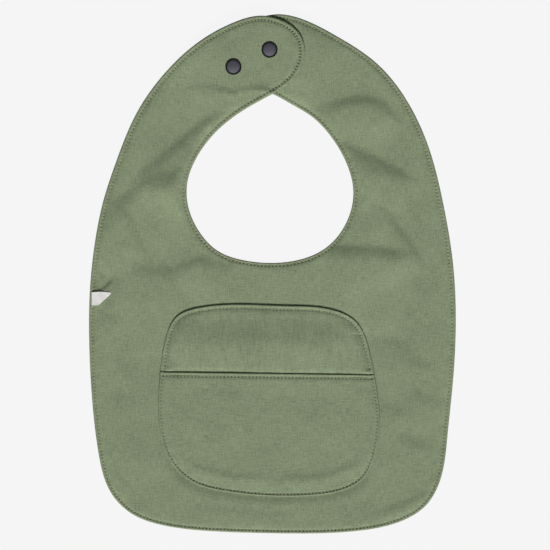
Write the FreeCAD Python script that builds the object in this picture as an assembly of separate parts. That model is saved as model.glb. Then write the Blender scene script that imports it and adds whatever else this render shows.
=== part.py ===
"""A baby's bib of woven cotton with a front pocket, lying on its back and buttoned closed.

Frame, in millimetres: +X to the bib's right as seen from the front, +Y towards the neck, +Z up out
of the front cloth. The origin is on the table under the middle of the outline.

The cloth is a sandwich: a back cloth, a soft interlining, and a front cloth. Both cloths turn in at
the edge and meet halfway up. The two neck straps are buttoned together at the top, the left one
over the right one, with two press studs. The left strap opens at two fold lines, so its cloth is
cut there into a strap and a tab.
"""
import FreeCAD, Part
import math
import os
from FreeCAD import Vector

# ---------------------------------------------------------------- driving sizes, in millimetres
CLOTH = 0.6            # one layer of woven cotton
FILL = 0.6             # the interlining
SHEET = 2 * CLOTH + FILL
TURN_IN = 6.0          # the width of the seam allowance inside the edge
STITCH_INSET = 2.5     # from the edge to the row of stitching
THREAD = 0.5           # the width of a row of stitching
THREAD_RISE = 0.25     # and how far it stands above the cloth
FOLD_GAP = 0.3         # between the cloths of two bodies at a fold line

PATCH = 0.6            # the cloth of the pocket's backing
POCKET_GAP = 0.3       # between the backing and the pocket's turned edges
POCKET_TURN = 0.5      # the turned edge under the pocket's cloth
HEM = 7.0              # the width of the turned edges of the pocket

HEAD_R = 5.35          # press stud: the head that shows
HEAD_T = 1.1
HEAD_EDGE = 0.45       # the height of the head's straight rim
CROWN_STEPS = 6        # facets of the head's rounded shoulder
POST_R = 0.9           # the post that goes through the cloth
RIVET_R = 1.45         # the post's flattened end
RIVET_T = 0.3
HOLE_SPARE = 0.06      # round a post
SOCKET_R = 4.8
SOCKET_T = 2.0
SOCKET_WEB = 0.45
SOCKET_BORE_R = 2.2
SOCKET_BEVEL = 0.3
STUD_R = 4.5
STUD_FLANGE = 0.5
NUB_R = 2.0
NUB_WAIST_R = 1.85
NUB_T = 1.1
NUB_WAIST_T = 0.35     # the straight part of the nub's waist
NUB_SHOULDER = 0.6     # where the nub is at its widest
NUB_BEVEL = 0.25
RIVET_SINK = 0.05      # the spare depth round the post's flattened end
MATE_GAP = 0.1         # between the stud's flange and the socket

LABEL_W = 10.0         # the folded ribbon label in the left side seam
LABEL_L = 15.0
LABEL_T = 0.35         # one layer of the ribbon
LABEL_Y = -17.6
LABEL_GAP = 0.3        # over the stitching
LABEL_SETBACK = 1.0    # from the bib's side to the label's fold
LABEL_SHORT = 0.45     # the share of its length that the label's lower edge has
LABEL_NOSE = 1.0       # how far the upper corner stands back from the point

# The heights of the stack at the closure.
LOWER_LIFT = HEAD_T
LOWER_TOP = LOWER_LIFT + SHEET
SOCKET_Z = LOWER_TOP + STUD_FLANGE + MATE_GAP
UPPER_LIFT = SOCKET_Z + SOCKET_T
UPPER_TOP = UPPER_LIFT + SHEET

# ---------------------------------------------------------------- the outline, anticlockwise
# It starts at the outer end of the left shoulder's fold line. The straps' ends cross in plan.
SHOULDER_OUT = (-112.4, 76.0)
SIDE_AND_HEM = [
    (-119.0, 56.0), (-126.0, 23.0), (-129.7, -12.0), (-130.2, -45.0), (-128.1, -89.0),
    (-123.4, -128.0), (-115.2, -154.5), (-101.0, -169.6), (-80.0, -178.0), (-50.0, -182.2),
    (-15.0, -183.8), (20.0, -184.3), (62.0, -182.3), (90.0, -176.1), (109.5, -163.8),
    (119.0, -146.8), (124.3, -115.0), (128.4, -74.0), (130.2, -28.0), (128.3, 7.0),
    (121.5, 49.0), (110.6, 91.0), (95.2, 123.6), (74.5, 149.2), (45.5, 169.0),
]
RIGHT_TAB = [
    (20.0, 181.3), (5.0, 184.3), (-12.0, 181.0), (-32.0, 169.5), (-46.0, 154.5), (-49.5, 141.0),
    (-43.5, 130.5), (-30.0, 127.0), (-14.0, 129.6), (-1.0, 128.0),
]
NECK = [
    (12.8, 120.9), (27.4, 112.2), (41.4, 97.8), (52.2, 79.4), (57.4, 57.6), (52.4, 36.4),
    (38.2, 18.8), (20.0, 10.4), (1.0, 7.9), (-20.0, 9.7), (-38.4, 16.2), (-52.2, 30.4),
    (-60.0, 48.8),
]
NECK_IN = (-60.2, 66.0)
STRAP_INNER = [(-53.8, 82.6)]
FOLD_IN = (-42.4, 98.4)
LEFT_TAB = [
    (-25.0, 113.2), (-3.0, 126.0), (10.9, 134.6), (20.0, 146.0), (23.0, 158.0), (19.2, 170.6),
    (8.0, 179.4), (-8.0, 183.2), (-27.0, 178.6), (-52.0, 164.9),
]
FOLD_OUT = (-75.6, 143.6)
STRAP_OUTER = [(-95.0, 117.0)]

# The pocket's outline, anticlockwise from the left end of its mouth.
POCKET_OUTLINE = [
    (-80.0, -72.0), (-81.0, -91.0), (-79.2, -114.5), (-72.0, -133.5), (-57.5, -147.4),
    (-34.0, -154.5), (-5.0, -157.7), (24.0, -157.7), (48.0, -154.2), (64.5, -145.2),
    (73.0, -127.0), (76.2, -105.0), (74.6, -85.5), (72.6, -72.0), (68.4, -52.0),
    (59.8, -34.0), (42.0, -24.9), (12.0, -22.3), (-20.0, -21.3), (-51.0, -24.0),
    (-67.6, -31.0), (-74.6, -44.5),
]
MOUTH_LEFT = (-80.0, -70.4)
MOUTH_RIGHT = (73.0, -73.0)
MOUTH_STITCH = 2.8     # from the mouth to its row of stitching

SNAP_INNER = (-27.7, 146.8)    # the press stud nearer the shoulder
SNAP_TIP = (-2.1, 158.9)       # and the one nearer the tab's end

# Where the straps leave the table: the right one over x, the left one from its second fold line.
LOWER_RAMP = (45.0, 15.0)
LOWER_DROOP = (-35.0, -44.0)
LOWER_ZONE = (-60.0, 85.0)     # the lowest x and y of the right strap's end
UPPER_RAMP = 26.0

UPPER_LEAD = 30.0              # of flat profile before the second fold line

FAR = 400.0                    # larger than the bib, for cutting tools
TALL = 20.0
SPACING = 7.0                  # between the points of an inset curve
OVERRUN = 12.0                 # of an inset curve, past a region's ends


# ---------------------------------------------------------------- plane curves
def at(point, z=0.0):
    return Vector(point[0], point[1], z)


def smooth_loop(points):
    """The closed curve through the points, and its parameter at each of them."""
    curve = Part.BSplineCurve()
    curve.interpolate(Points=[at(p) for p in points], PeriodicFlag=True)
    return curve, curve.getKnots()


def inset_points(curve, start, end, distance):
    """Points at that distance inside an anticlockwise curve, from one parameter to another."""
    period = curve.LastParameter - curve.FirstParameter
    count = int((end - start) / SPACING)
    found = []
    for i in range(count + 1):
        u = curve.FirstParameter + (start + (end - start) * i / count - curve.FirstParameter) % period
        point, tangent = curve.value(u), curve.tangent(u)[0]
        found.append(point + Vector(-tangent.y, tangent.x, 0) * distance)
    return found


def open_edge(points):
    curve = Part.BSplineCurve()
    curve.interpolate(Points=points)
    return curve.toShape()


def face_of(*edges):
    return Part.Face(Part.Wire(edges))


def line(a, b):
    return Part.makeLine(a, b)


def prism(face, low, high):
    """The face, moved to height low and extruded to height high."""
    raised = face.copy()
    raised.translate(Vector(0, 0, low))
    return raised.extrude(Vector(0, 0, high - low))


def half_plane_box(origin, along, depth):
    """A long box on the side that along points to, from the line through origin across along."""
    across = Vector(-along.y, along.x, 0)
    corners = [origin - across * FAR, origin + across * FAR]
    corners += [corners[1] + along * depth, corners[0] + along * depth]
    face = Part.Face(Part.makePolygon([Vector(c.x, c.y, 0) for c in corners + corners[:1]]))
    return prism(face, -TALL, TALL)


# ---------------------------------------------------------------- the bib's regions
OUTLINE_POINTS = (
    [SHOULDER_OUT] + SIDE_AND_HEM + RIGHT_TAB + NECK + [NECK_IN] + STRAP_INNER + [FOLD_IN]
    + LEFT_TAB + [FOLD_OUT] + STRAP_OUTER
)
OUTLINE, OUTLINE_KNOTS = smooth_loop(OUTLINE_POINTS)


def knot_of(point):
    return OUTLINE_KNOTS[OUTLINE_POINTS.index(point)]


def fold(inner, outer):
    """A fold line: its inner end, and the direction across it towards the strap's end."""
    axis = (at(inner) - at(outer)).normalize()
    return at(inner), Vector(-axis.y, axis.x, 0)


SHOULDER = fold(NECK_IN, SHOULDER_OUT)
TAB_FOLD = fold(FOLD_IN, FOLD_OUT)


def main_face(distance=0.0):
    """The body of the bib with the right strap, up to the shoulder's fold line."""
    start, end = OUTLINE_KNOTS[0], knot_of(NECK_IN)
    if not distance:
        return face_of(OUTLINE.toShape(start, end), line(at(NECK_IN), at(SHOULDER_OUT)))
    points = inset_points(OUTLINE, start - OVERRUN, end + OVERRUN, distance)
    return face_of(open_edge(points), line(points[-1], points[0]))


def strap_face(distance=0.0):
    """The left strap, from the shoulder's fold line to the tab's."""
    inner = (knot_of(NECK_IN), knot_of(FOLD_IN))
    outer = (knot_of(FOLD_OUT), OUTLINE_KNOTS[-1])
    if not distance:
        return face_of(
            OUTLINE.toShape(*inner), line(at(FOLD_IN), at(FOLD_OUT)),
            OUTLINE.toShape(*outer), line(at(SHOULDER_OUT), at(NECK_IN)),
        )
    near = inset_points(OUTLINE, inner[0] - OVERRUN, inner[1] + OVERRUN, distance)
    far = inset_points(OUTLINE, outer[0] - OVERRUN, outer[1] + OVERRUN, distance)
    return face_of(open_edge(near), line(near[-1], far[0]), open_edge(far), line(far[-1], near[0]))


def tab_face(distance=0.0):
    """The end of the left strap, which carries the press studs' heads."""
    start, end = knot_of(FOLD_IN), knot_of(FOLD_OUT)
    if not distance:
        return face_of(OUTLINE.toShape(start, end), line(at(FOLD_OUT), at(FOLD_IN)))
    points = inset_points(OUTLINE, start - OVERRUN, end + OVERRUN, distance)
    return face_of(open_edge(points), line(points[-1], points[0]))


# ---------------------------------------------------------------- layers that follow the ramps
def profile_slab(stations, origin, along, low, high):
    """A wide slab whose height above the table follows (distance along, lift) stations."""
    across = Vector(-along.y, along.x, 0)
    under = [origin + along * s + Vector(0, 0, low + lift) for s, lift in stations]
    over = [origin + along * s + Vector(0, 0, high + lift) for s, lift in reversed(stations)]
    side = Part.Face(Part.makePolygon(under + over + under[:1]))
    side.translate(across * -FAR)
    return side.extrude(across * 2 * FAR)


def region_prism(face, low, high, distance):
    """A region that far inside the outline, from one height to another, within its fold lines."""
    shape = prism(face(distance), low, high)
    return shape.common(prism(face(), low, high)) if distance else shape


def main_layer(low, high, distance=0.0):
    """A layer of the bib's body. The right strap's end is lifted off the table by its stud heads."""
    zone_x, zone_y = LOWER_ZONE
    width = LOWER_RAMP[0] - zone_x
    zone = Part.makeBox(width, FAR, 2 * TALL, Vector(zone_x, zone_y, -TALL))
    stations = [
        (-LOWER_RAMP[0], 0), (-LOWER_RAMP[1], LOWER_LIFT), (-LOWER_DROOP[0], LOWER_LIFT),
        (-LOWER_DROOP[1], 0), (-zone_x, 0),
    ]
    slab = profile_slab(stations, Vector(0, 0, 0), Vector(-1, 0, 0), low, high)
    lifted = region_prism(main_face, 0, TALL, distance).common(zone).common(slab)
    flat = region_prism(main_face, low, high, distance).cut(zone)
    return flat.fuse(lifted).removeSplitter()


def strap_layer(low, high, distance=0.0):
    origin, along = SHOULDER
    return region_prism(strap_face, low, high, distance).cut(half_plane_box(origin, along, FOLD_GAP))


def tab_layer(low, high, distance=0.0):
    """A layer of the tab. It climbs from its fold line to the top of the press studs."""
    origin, along = TAB_FOLD
    stations = [(-UPPER_LEAD, 0), (0, 0), (UPPER_RAMP, UPPER_LIFT), (FAR, UPPER_LIFT)]
    slab = profile_slab(stations, origin, along, low, high)
    column = region_prism(tab_face, 0, TALL, distance)
    return column.common(slab).cut(half_plane_box(origin, along, FOLD_GAP))


def sandwich(layer, names, holes=()):
    """The back cloth, interlining, front cloth and edge stitching of one region."""
    back_name, fill_name, front_name, stitch_name = names
    middle = SHEET / 2
    fill = layer(CLOTH, CLOTH + FILL, TURN_IN)
    made = {
        back_name: layer(0, middle).cut(fill),
        fill_name: fill,
        front_name: layer(middle, SHEET).cut(fill),
        stitch_name: stitching(layer, SHEET),
    }
    for name in (back_name, fill_name, front_name):
        for hole in holes:
            made[name] = made[name].cut(hole)
    return made


def stitching(layer, height):
    """A row of stitching, as one flat ribbon of thread on the cloth."""
    top = height + THREAD_RISE
    outer = layer(height, top, STITCH_INSET - THREAD / 2)
    return outer.cut(layer(height, top, STITCH_INSET + THREAD / 2))


# ---------------------------------------------------------------- the pocket
POCKET_CURVE, POCKET_KNOTS = smooth_loop(POCKET_OUTLINE)
MOUTH_DIRECTION = (at(MOUTH_RIGHT) - at(MOUTH_LEFT)).normalize()
MOUTH_DOWN = Vector(MOUTH_DIRECTION.y, -MOUTH_DIRECTION.x, 0)


def pocket_layer(low, high, distance=0.0):
    if not distance:
        return prism(face_of(POCKET_CURVE.toShape()), low, high)
    points = inset_points(POCKET_CURVE, POCKET_KNOTS[0], POCKET_KNOTS[-1], distance)
    curve = Part.BSplineCurve()
    curve.interpolate(Points=points[:-1], PeriodicFlag=True)
    return prism(face_of(curve.toShape()), low, high)


def below_mouth(drop, depth=FAR):
    """A tool that keeps what lies from drop under the pocket's mouth to that depth."""
    return half_plane_box(at(MOUTH_LEFT) + MOUTH_DOWN * drop, MOUTH_DOWN, depth)


def pocket():
    """The backing, the front with its edges turned under, and the three rows of stitching."""
    backing_top = SHEET + PATCH
    hem_low = backing_top + POCKET_GAP
    cloth_low = hem_low + POCKET_TURN
    top = cloth_low + CLOTH
    front = pocket_layer(hem_low, top).common(below_mouth(0))
    hollow = pocket_layer(hem_low, cloth_low, HEM).common(below_mouth(HEM))
    upper = half_plane_box(at(MOUTH_LEFT) - MOUTH_DOWN * POCKET_GAP, MOUTH_DOWN * -1, FAR)
    seam = stitching(pocket_layer, top)
    hem_row = pocket_layer(top, top + THREAD_RISE, STITCH_INSET + THREAD)
    return {
        "pocket_backing": pocket_layer(SHEET, backing_top),
        "pocket_backing_stitch": stitching(pocket_layer, backing_top).common(upper),
        "pocket_front": front.cut(hollow),
        "pocket_seam_stitch": seam.common(below_mouth(MOUTH_STITCH)),
        "pocket_hem_stitch": hem_row.common(below_mouth(MOUTH_STITCH, THREAD)),
    }


# ---------------------------------------------------------------- press studs and label
def turned(outline, centre):
    """The solid that an outline of (radius, height) points makes when it turns round an axis."""
    points = [Vector(r, 0, z) for r, z in outline]
    face = Part.Face(Part.makePolygon(points + points[:1]))
    solid = face.revolve(Vector(0, 0, 0), Vector(0, 0, 1), 360)
    solid.translate(at(centre))
    return solid


def head_profile(height, direction, length):
    """A head with a low crown, its post through the cloth, and the post's flattened end."""
    crown = HEAD_T - HEAD_EDGE
    arc = []
    for i in range(CROWN_STEPS + 1):
        turn = math.pi / 2 * i / CROWN_STEPS
        arc.append((HEAD_R - crown * (1 - math.cos(turn)), HEAD_EDGE + crown * math.sin(turn)))
    post = [(0, -length), (RIVET_R, -length), (RIVET_R, RIVET_T - length), (POST_R, RIVET_T - length)]
    profile = post + [(POST_R, 0), (HEAD_R, 0)] + arc + [(0, HEAD_T)]
    return [(r, height + direction * z) for r, z in profile]


def socket_profile():
    """The ring and web under the tab, with a bevelled bore that the stud's nub snaps into."""
    low, high = SOCKET_Z, SOCKET_Z + SOCKET_T
    web, bevel, hole = high - SOCKET_WEB, low + SOCKET_BEVEL, POST_R + HOLE_SPARE
    return [
        (SOCKET_BORE_R + SOCKET_BEVEL, low), (SOCKET_R - SOCKET_BEVEL, low), (SOCKET_R, bevel),
        (SOCKET_R, high), (hole, high), (hole, web), (SOCKET_BORE_R, web), (SOCKET_BORE_R, bevel),
    ]


def stud_profile():
    """The flange on the lower strap and its nub, sunk in the middle for the post's flattened end."""
    low = LOWER_TOP
    flange = low + STUD_FLANGE
    top = flange + NUB_T
    hole, sink = POST_R + HOLE_SPARE, RIVET_R + HOLE_SPARE
    floor = top - RIVET_T - RIVET_SINK
    return [
        (hole, low), (STUD_R, low), (STUD_R, flange), (NUB_WAIST_R, flange),
        (NUB_WAIST_R, flange + NUB_WAIST_T), (NUB_R, flange + NUB_SHOULDER),
        (NUB_R, top - NUB_BEVEL), (NUB_R - NUB_BEVEL, top), (sink, top), (sink, floor), (hole, floor),
    ]


def press_stud(centre, name):
    """One closed press stud: head and socket on the upper tab, stud and back head on the lower one."""
    upper_post = SHEET + SOCKET_WEB + RIVET_T
    lower_post = SHEET + STUD_FLANGE + NUB_T
    return {
        "snap_cap_" + name: turned(head_profile(UPPER_TOP, 1, upper_post), centre),
        "snap_socket_" + name: turned(socket_profile(), centre),
        "snap_stud_" + name: turned(stud_profile(), centre),
        "snap_back_cap_" + name: turned(head_profile(LOWER_LIFT, -1, lower_post), centre),
    }


def post_hole(centre):
    return Part.makeCylinder(POST_R + HOLE_SPARE, TALL, at(centre))


def label():
    """A ribbon folded double, sewn in the left side seam and turned in over the front."""
    edge_x = min(OUTLINE.value(u).x for u in OUTLINE_KNOTS) + LABEL_SETBACK
    low = SHEET + THREAD_RISE + LABEL_GAP
    corners = [
        (0, -LABEL_W / 2), (LABEL_L * LABEL_SHORT, -LABEL_W / 2), (LABEL_L, LABEL_W / 4),
        (LABEL_L - LABEL_NOSE, LABEL_W / 2), (0, LABEL_W / 2),
    ]
    points = [Vector(edge_x + x, LABEL_Y + y, 0) for x, y in corners]
    return prism(Part.Face(Part.makePolygon(points + points[:1])), low, low + 2 * LABEL_T)


# ---------------------------------------------------------------- the whole bib
def build():
    studs = [press_stud(SNAP_INNER, "inner"), press_stud(SNAP_TIP, "tip")]
    holes = [post_hole(SNAP_INNER), post_hole(SNAP_TIP)]
    parts = {}
    body_names = ("back_panel", "interlining", "front_panel", "edge_stitch")
    strap_names = ("strap_back_cloth", "strap_interlining", "strap_front_cloth", "strap_stitch")
    tab_names = ("tab_back_cloth", "tab_interlining", "tab_front_cloth", "tab_stitch")
    parts.update(sandwich(main_layer, body_names, holes))
    parts.update(sandwich(strap_layer, strap_names))
    parts.update(sandwich(tab_layer, tab_names, holes))
    parts.update(pocket())
    for stud in studs:
        parts.update(stud)
    parts["size_label"] = label()
    return parts


os.makedirs("parts", exist_ok=True)
for node, shape in build().items():
    shape.exportStep("parts/" + node + ".step")
    box = shape.BoundBox
    print("%-24s solids %d valid %s volume %9.1f z %.2f..%.2f" % (
        node, len(shape.Solids), shape.isValid(), shape.Volume, box.ZMin, box.ZMax))
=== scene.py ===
import math

import bpy
import numpy as np
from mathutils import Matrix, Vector, noise
from mathutils.geometry import delaunay_2d_cdt
from mathutils.kdtree import KDTree


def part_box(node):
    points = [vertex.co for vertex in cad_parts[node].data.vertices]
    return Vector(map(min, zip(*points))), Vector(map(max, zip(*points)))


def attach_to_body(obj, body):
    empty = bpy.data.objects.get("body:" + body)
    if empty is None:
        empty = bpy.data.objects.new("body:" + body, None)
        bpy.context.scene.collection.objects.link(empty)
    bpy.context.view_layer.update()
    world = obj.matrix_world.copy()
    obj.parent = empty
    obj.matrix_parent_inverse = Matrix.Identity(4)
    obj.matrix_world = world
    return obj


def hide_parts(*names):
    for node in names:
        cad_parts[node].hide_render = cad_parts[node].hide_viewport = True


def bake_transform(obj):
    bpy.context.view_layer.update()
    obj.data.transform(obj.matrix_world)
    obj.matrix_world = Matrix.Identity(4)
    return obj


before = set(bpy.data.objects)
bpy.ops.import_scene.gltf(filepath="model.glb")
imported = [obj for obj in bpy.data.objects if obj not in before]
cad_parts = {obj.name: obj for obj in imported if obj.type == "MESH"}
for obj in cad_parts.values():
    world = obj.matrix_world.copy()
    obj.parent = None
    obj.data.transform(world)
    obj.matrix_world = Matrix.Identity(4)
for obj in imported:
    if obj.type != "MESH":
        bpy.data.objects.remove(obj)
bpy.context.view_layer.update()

MM = 0.001


# ---------------------------------------------------------------- sizes, in millimetres
def height_of(node, end):
    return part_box(node)[end].z / MM


SHEET = height_of("strap_front_cloth", 1)           # the cloth's whole thickness where it lies flat
SEAM_Z = height_of("strap_back_cloth", 1)           # where front and back cloth meet at the edge
UPPER_LIFT = height_of("snap_socket_tip", 1)        # the tab's underside at the press studs
LOWER_LIFT = height_of("snap_stud_tip", 0) - SHEET  # the right strap's underside at the studs
PATCH = height_of("pocket_backing", 1) - SHEET
CLOTH = 0.5

STITCH = 2.55                 # the length of one stitch
ROWS_PER_STITCH = 6
THREAD_R = 0.23
HOLE = 0.58                   # the radius of the dimple round a needle hole
# The rows of points along a seam, as shares of the way from the edge to the stitching.
RING_SHARES = [0, 0.04, 0.1, 0.19, 0.33, 0.5, 0.68, 0.85, 1.0, 1.15, 1.32, 1.55, 1.9, 2.35, 2.9]
GRID = 2.4                    # the spacing of the points inside a cloth
CUT_STEP = 1.2                # and along a straight cut

# The outline, anticlockwise from the outer end of the left shoulder's fold, as the CAD has it.
SHOULDER_OUT = (-112.4, 76)
SIDE_AND_HEM = [
    (-119, 56), (-126, 23), (-129.7, -12), (-130.2, -45), (-128.1, -89),
    (-123.4, -128), (-115.2, -154.5), (-101, -169.6), (-80, -178), (-50, -182.2),
    (-15, -183.8), (20, -184.3), (62, -182.3), (90, -176.1), (109.5, -163.8),
    (119, -146.8), (124.3, -115), (128.4, -74), (130.2, -28), (128.3, 7),
    (121.5, 49), (110.6, 91), (95.2, 123.6), (74.5, 149.2), (45.5, 169),
]
RIGHT_TAB = [
    (20, 181.3), (5, 184.3), (-12, 181), (-32, 169.5), (-46, 154.5), (-49.5, 141),
    (-43.5, 130.5), (-30, 127), (-14, 129.6), (-1, 128),
]
NECK = [
    (12.8, 120.9), (27.4, 112.2), (41.4, 97.8), (52.2, 79.4), (57.4, 57.6), (52.4, 36.4),
    (38.2, 18.8), (20, 10.4), (1, 7.9), (-20, 9.7), (-38.4, 16.2), (-52.2, 30.4),
    (-60, 48.8),
]
NECK_IN = (-60.2, 66)
STRAP_INNER = [(-53.8, 82.6)]
FOLD_IN = (-42.4, 98.4)
LEFT_TAB = [
    (-25, 113.2), (-3, 126), (10.9, 134.6), (20, 146), (23, 158), (19.2, 170.6),
    (8, 179.4), (-8, 183.2), (-27, 178.6), (-52, 164.9),
]
FOLD_OUT = (-75.6, 143.6)
STRAP_OUTER = [(-95, 117)]
POCKET_OUTLINE = [
    (-80, -72), (-81, -91), (-79.2, -114.5), (-72, -133.5), (-57.5, -147.4),
    (-34, -154.5), (-5, -157.7), (24, -157.7), (48, -154.2), (64.5, -145.2),
    (73, -127), (76.2, -105), (74.6, -85.5), (72.6, -72), (68.4, -52),
    (59.8, -34), (42, -24.9), (12, -22.3), (-20, -21.3), (-51.4, -23.4),
    (-68.4, -30.3), (-75.6, -44.2),
]
MOUTH_LEFT = np.array((-80.0, -69.3))
MOUTH_RIGHT = np.array((73.0, -71.4))
SNAPS = {"inner": (-27.7, 146.8), "tip": (-2.1, 158.9)}

# How far before the fold line the cut between two pieces lies.
BEND_BEFORE = 8.0


def unit(v):
    v = np.array(v, float)
    return v / np.linalg.norm(v)


def smooth(x):
    x = np.clip(x, 0, 1)
    return x * x * (3 - 2 * x)


def between(x, low, high):
    """0 below low, 1 above high, and smooth in between."""
    return smooth((x - low) / (high - low))


def bell(x, width):
    """1 at 0, and falling to 0 on both sides of it."""
    return np.exp(-(x / width) ** 2)


def unevenness(s, size, seed):
    """A smooth noise along a line, the same each time."""
    return np.array([noise.noise(Vector((a / size, seed, 0))) for a in s])


# ---------------------------------------------------------------- curves in plan
class Loop:
    """A closed smooth curve through points, measured by its length. Cloth lies on its left."""

    STEP = 0.1

    def __init__(self, points):
        p = np.array(points, float)
        n = len(p)
        ahead = np.roll(p, -1, 0)
        gap = np.linalg.norm(ahead - p, axis=1)
        system = np.zeros((n, n))
        for i in range(n):
            system[i, i - 1] += gap[i - 1] / 6
            system[i, i] += (gap[i - 1] + gap[i]) / 3
            system[i, (i + 1) % n] += gap[i] / 6
        slope = (ahead - p) / gap[:, None]
        bend = np.linalg.solve(system, slope - np.roll(slope, 1, 0))
        dense = []
        for i in range(n):
            t = np.linspace(0, 1, int(gap[i] / self.STEP) + 2)[:-1, None]
            curve = (1 - t) * p[i] + t * ahead[i]
            sag = ((1 - t) ** 3 - (1 - t)) * bend[i] + (t ** 3 - t) * bend[(i + 1) % n]
            dense.append(curve + sag * gap[i] ** 2 / 6)
        self.points = np.vstack(dense)
        chord = np.linalg.norm(np.roll(self.points, -1, 0) - self.points, axis=1)
        self.along = np.concatenate([[0], np.cumsum(chord)])
        self.length = self.along[-1]

    def at(self, s):
        closed = np.vstack([self.points, self.points[:1]])
        s = np.mod(s, self.length)
        return np.stack([np.interp(s, self.along, closed[:, k]) for k in (0, 1)], -1)

    def heading(self, s):
        ahead = self.at(np.asarray(s) + 0.3) - self.at(np.asarray(s) - 0.3)
        return ahead / np.linalg.norm(ahead, axis=-1, keepdims=True)

    def inward(self, s):
        t = self.heading(s)
        return np.stack([-t[..., 1], t[..., 0]], -1)

    def nearest(self, point):
        return self.along[np.argmin(np.linalg.norm(self.points - np.array(point), axis=1))]

    def crossing(self, origin, direction, near):
        """Where, close to near, the loop crosses the line through origin across direction."""
        s = near + np.arange(-30, 30, 0.02)
        side = (self.at(s) - origin) @ direction
        return s[np.argmin(np.abs(side))]


OUTLINE = Loop(
    [SHOULDER_OUT] + SIDE_AND_HEM + RIGHT_TAB + NECK + [NECK_IN] + STRAP_INNER + [FOLD_IN]
    + LEFT_TAB + [FOLD_OUT] + STRAP_OUTER
)
POCKET = Loop(POCKET_OUTLINE)


class Cut:
    """A straight line across the cloth, from its inner to its outer edge, where two pieces meet."""

    def __init__(self, inner, outer):
        """The cut lies a little before the fold line between those two points."""
        line = unit(np.subtract(outer, inner))
        self.ahead = np.array([line[1], -line[0]])
        self.origin = np.array(inner, float) - self.ahead * BEND_BEFORE
        self.inner_s = OUTLINE.crossing(self.origin, self.ahead, OUTLINE.nearest(inner))
        self.outer_s = OUTLINE.crossing(self.origin, self.ahead, OUTLINE.nearest(outer))
        self.inner = OUTLINE.at(self.inner_s)
        self.line = unit(OUTLINE.at(self.outer_s) - self.inner)

    def past(self, xy):
        return (xy - self.origin) @ self.ahead


SHOULDER = Cut(NECK_IN, SHOULDER_OUT)
TAB_FOLD = Cut(FOLD_IN, FOLD_OUT)


# How far inside the outline the row of stitching runs, and how plainly its needle holes show:
# both change slowly along the seam.
SEAM = [
    (SHOULDER_OUT, 3.0, 0.2), ((-128.1, -89.0), 2.3, 0.2), ((-101.0, -169.6), 2.1, 0.6),
    ((-50.0, -182.2), 2.0, 1.0), ((62.0, -182.3), 2.0, 1.0), ((109.5, -163.8), 2.2, 0.5),
    ((128.4, -74.0), 2.5, 0.12), ((110.6, 91.0), 2.8, 0.25), ((45.5, 169.0), 2.6, 0.6),
    ((-1.0, 128.0), 2.2, 0.6), ((52.2, 79.4), 2.2, 0.25), ((20.0, 10.4), 2.0, 0.9),
    ((-20.0, 9.7), 2.0, 0.9), (NECK_IN, 2.2, 0.25), ((-25.0, 113.2), 2.5, 0.8),
    ((23.0, 158.0), 3.1, 1.0), ((-8.0, 183.2), 3.0, 0.9), (FOLD_OUT, 3.0, 0.5),
]
SEAM_AT = [OUTLINE.nearest(point) for point, _, _ in SEAM]


def stitch_inset(s):
    return np.interp(s, SEAM_AT, [inset for _, inset, _ in SEAM], period=OUTLINE.length)


def hole_shade(loop, s):
    if loop is OUTLINE:
        return np.interp(s, SEAM_AT, [shade for _, _, shade in SEAM], period=OUTLINE.length)
    return 0.95 - 0.6 * between(loop.at(s)[..., 1], -152.0, -126.0)


def pocket_inset(s):
    """The same for the pocket: its upper edge is stitched further in than its sides."""
    y = POCKET.at(s)[..., 1]
    return 1.9 + 0.9 * between(y, -75.0, -66.0)


# ---------------------------------------------------------------- cloth cut out in plan
class Plan:
    """Cloth as cut, flat: its points, each one's distance d from the sewn edge and place s along it,
    and d as a share of the way to the stitching."""

    def __init__(self):
        self.rows, self.faces = [], []

    def add(self, xy, d=0.0, s=0.0, share=0.0):
        """Adds points, and returns their numbers."""
        first = len(self.rows)
        made = np.empty((len(xy), 5))
        made[:, :2] = xy
        made[:, 2], made[:, 3], made[:, 4] = d, s, share
        self.rows += made.tolist()
        return list(range(first, len(self.rows)))

    def close(self):
        table = np.array(self.rows)
        self.xy = table[:, :2]
        self.d, self.s, self.share = table[:, 2:].T
        return self


LEAN_OVER = 22.0              # over this length a seam's rows turn to end on a cut
TREE_OVER = 45                # and this far past a stretch the edge is still measured from


def pitch_of(loop):
    """The length of a stitch, so that a whole number of them goes round the loop."""
    return loop.length / round(loop.length / STITCH)


def seam_rows(loop, start, end):
    """Arc positions from start to end, in step with the stitches."""
    step = pitch_of(loop) / ROWS_PER_STITCH
    rows = np.arange(math.ceil(start / step + 0.4), math.floor(end / step - 0.4) + 1) * step
    return np.concatenate([[start], rows, [end]])


def slant(loop, s, direction):
    """How far a row leans along the edge, per unit inwards, to end on a line in that direction."""
    return float(np.dot(direction, loop.heading(s)) / np.dot(direction, loop.inward(s)))


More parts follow.
